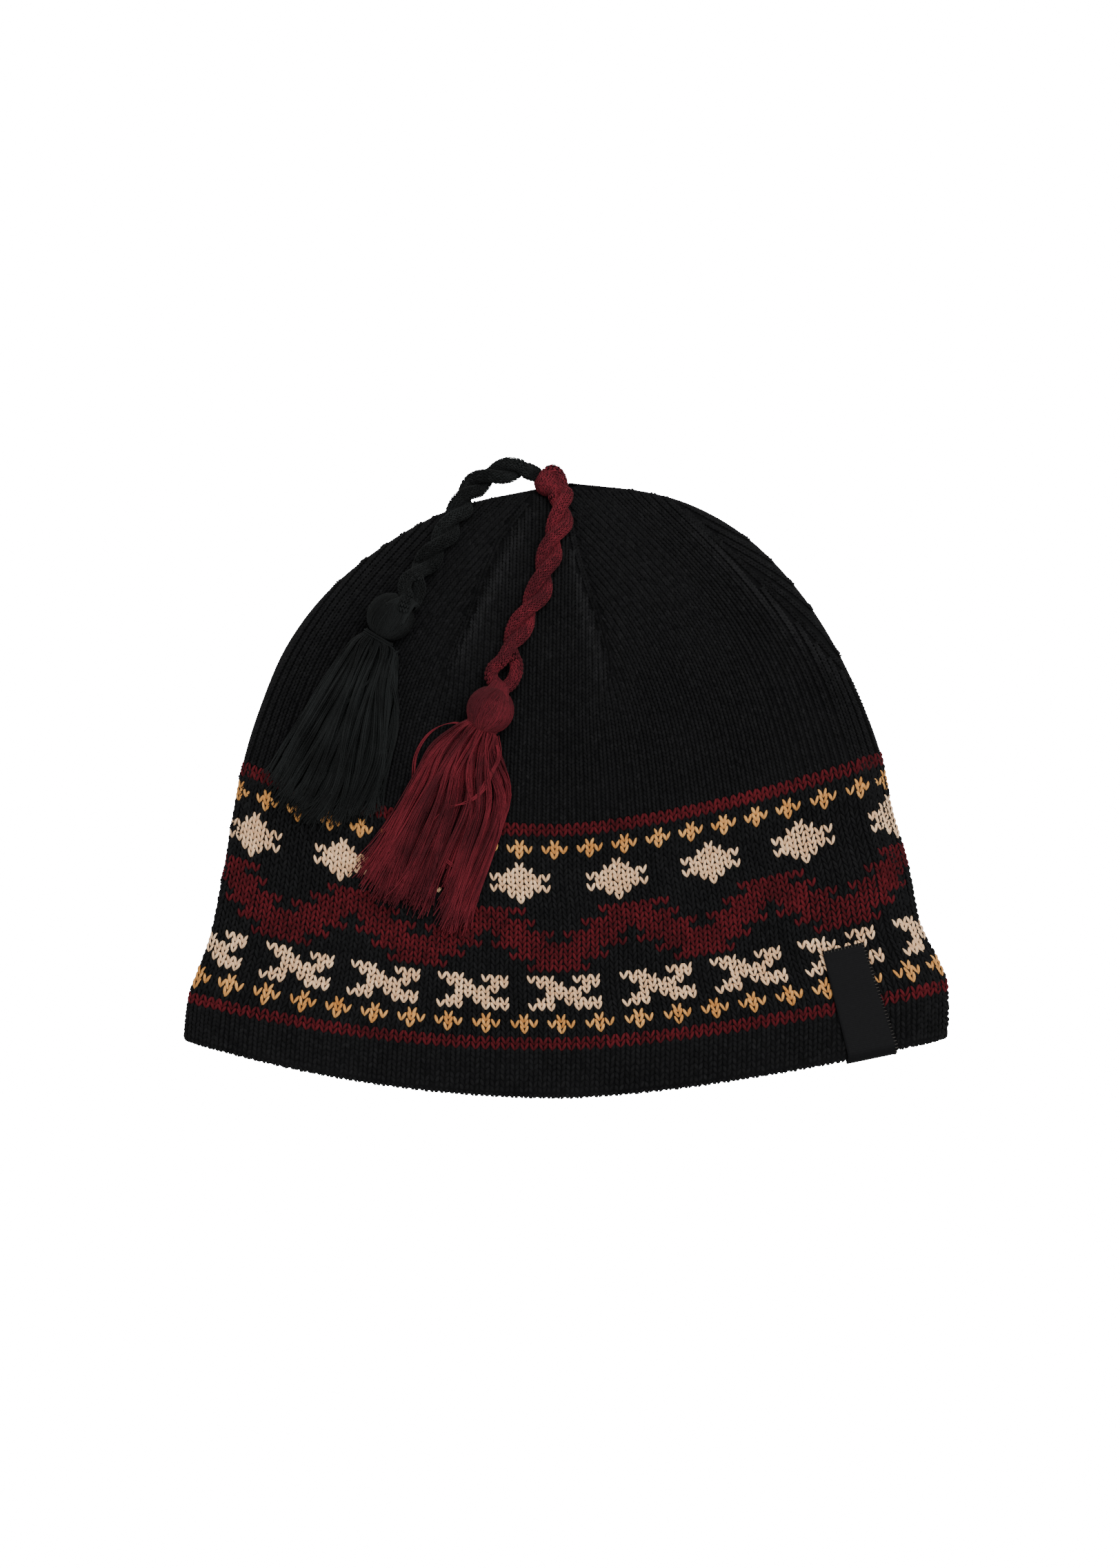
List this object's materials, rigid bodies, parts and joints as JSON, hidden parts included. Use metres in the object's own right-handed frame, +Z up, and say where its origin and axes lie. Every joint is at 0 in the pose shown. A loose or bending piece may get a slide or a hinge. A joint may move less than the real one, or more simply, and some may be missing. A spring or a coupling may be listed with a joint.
{
  "type": "knitted beanie",
  "caption": "Knitted beanie lying flat on its back, open at the rim, with a patterned band, a plain hem, a side tab and twisted cords that end in tassels.",
  "frame": {"origin": "underside of the flat back layer, at the middle of the hat's box without the cords, the knot and the tassels", "axes": "+X across the hat, towards the side with the tab; +Y from the rim to the top of the crown; +Z up, out of the front layer"},
  "size_m": [0.2393, 0.1999, 0.0596],
  "materials": {
    "black_knit": "matt knitted yarn",
    "black_satin": "woven satin tape",
    "red_yarn": "knitted and loose yarn",
    "green_black_yarn": "knitted and loose yarn"
  },
  "bodies": {
    "root": {"knit_body": "black_knit", "label_tab": "black_satin", "crown_knot": "red_yarn", "red_cord": "red_yarn", "red_tassel": "red_yarn", "red_binding": "red_yarn", "black_cord": "green_black_yarn", "black_tassel": "green_black_yarn", "black_binding": "green_black_yarn"}
  },
  "joints": []
}
